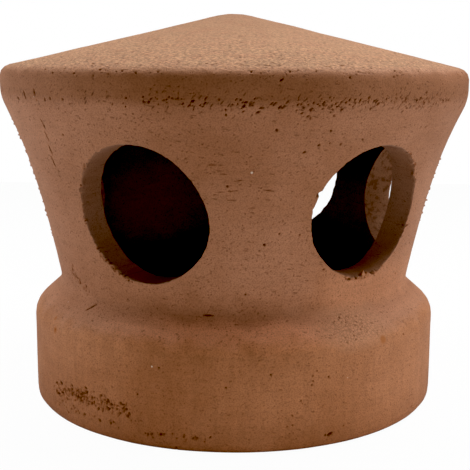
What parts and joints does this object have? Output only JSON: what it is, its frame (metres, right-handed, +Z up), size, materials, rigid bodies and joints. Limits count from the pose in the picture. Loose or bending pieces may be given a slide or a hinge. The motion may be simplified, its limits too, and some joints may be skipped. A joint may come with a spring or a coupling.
{
  "type": "roof vent cap",
  "caption": "Hollow terracotta roof vent cap: open collar, narrow neck, flaring wall with round cut vents, banded rim and low conical roof.",
  "frame": {"origin": "centre of the flat underside of the collar, on the axis of the turned body", "axes": "+Z up along the axis of the turned body, towards the tip of the roof; -Y is the front that the picture shows"},
  "size_m": [0.19, 0.19, 0.1571],
  "materials": {
    "terracotta": "unglazed fired clay, matt, brown-red, with open pores, drag marks from turning and pale bloom"
  },
  "bodies": {
    "root": {"vent_cap": "terracotta"}
  },
  "joints": []
}
